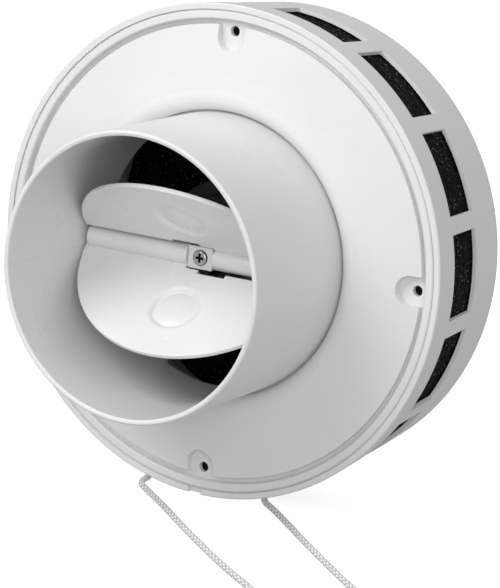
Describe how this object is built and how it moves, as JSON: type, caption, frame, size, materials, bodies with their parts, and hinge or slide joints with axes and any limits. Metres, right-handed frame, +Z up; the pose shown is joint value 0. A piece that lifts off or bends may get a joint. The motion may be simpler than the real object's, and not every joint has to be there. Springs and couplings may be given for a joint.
{
  "type": "round wall ventilator",
  "caption": "Round slotted wall ventilator with a duct spigot, a pair of half-round damper leaves on one pin and two pull cords.",
  "frame": {"origin": "on the duct axis, in the plane of the back plate's rim, which lies against the wall", "axes": "-Y along the duct axis out of the spigot's mouth into the wall, +Y into the room, +Z up, the hinge pin along X"},
  "size_m": [0.2773, 0.2468, 0.2161],
  "materials": {
    "white_plastic": "moulded, semi-gloss white",
    "leaf_plastic": "moulded, semi-gloss white",
    "block_plastic": "moulded white",
    "black_plastic": "black, matt moulded",
    "black_foam": "open-cell foam, black",
    "zinc_steel": "bright zinc",
    "pin_plastic": "white rod",
    "spring_steel": "spring steel",
    "acetal": "natural acetal",
    "braided_cord": "white braid",
    "bead_plastic": "moulded white"
  },
  "bodies": {
    "housing": {"back_plate": "white_plastic", "spigot_tube": "white_plastic", "casing": "white_plastic", "centre_block": "block_plastic", "bridge": "black_plastic", "filter_cage": "black_plastic", "filter_ring": "black_foam", "spigot_screws": "zinc_steel", "bridge_screws": "zinc_steel", "block_screw": "zinc_steel", "hinge_pin": "pin_plastic", "wheel_clip": "spring_steel", "friction_washer": "spring_steel", "thrust_washer": "acetal", "cord_eyelets": "acetal", "drive_cord": "braided_cord", "left_cord": "braided_cord", "left_cord_coil": "braided_cord", "right_cord": "braided_cord", "right_cord_coil": "braided_cord", "left_cord_bead": "bead_plastic", "right_cord_bead": "bead_plastic", "left_cord_clip": "bead_plastic", "right_cord_clip": "bead_plastic"},
    "upper_leaf": {"upper_leaf": "leaf_plastic"},
    "lower_leaf": {"lower_leaf": "leaf_plastic"},
    "wheel": {"cord_wheel": "black_plastic"},
    "cover": {"front_cover": "white_plastic", "insulation_disc": "black_foam"}
  },
  "joints": [
    {"name": "wheel_turn", "type": "hinge", "parent": "housing", "child": "wheel", "pos_m": [0, 0.0135, 0], "axis": [0, 1, 0], "range_deg": [-14.6, 35.3]},
    {"name": "upper_leaf_hinge", "type": "hinge", "parent": "housing", "child": "upper_leaf", "pos_m": [0, -0.0087, 0], "axis": [1, 0, 0], "range_deg": [-53, 22]},
    {"name": "lower_leaf_hinge", "type": "hinge", "parent": "housing", "child": "lower_leaf", "pos_m": [0, -0.0087, 0], "axis": [1, 0, 0], "range_deg": [-22, 53]},
    {"name": "cover_pull", "type": "slide", "parent": "housing", "child": "cover", "axis": [0, 1, 0], "range_m": [0, 0.01]}
  ],
  "couplings": [
    {"joint": "upper_leaf_hinge", "follows": "wheel_turn", "ratio": -1.5},
    {"joint": "lower_leaf_hinge", "follows": "wheel_turn", "ratio": 1.5}
  ]
}
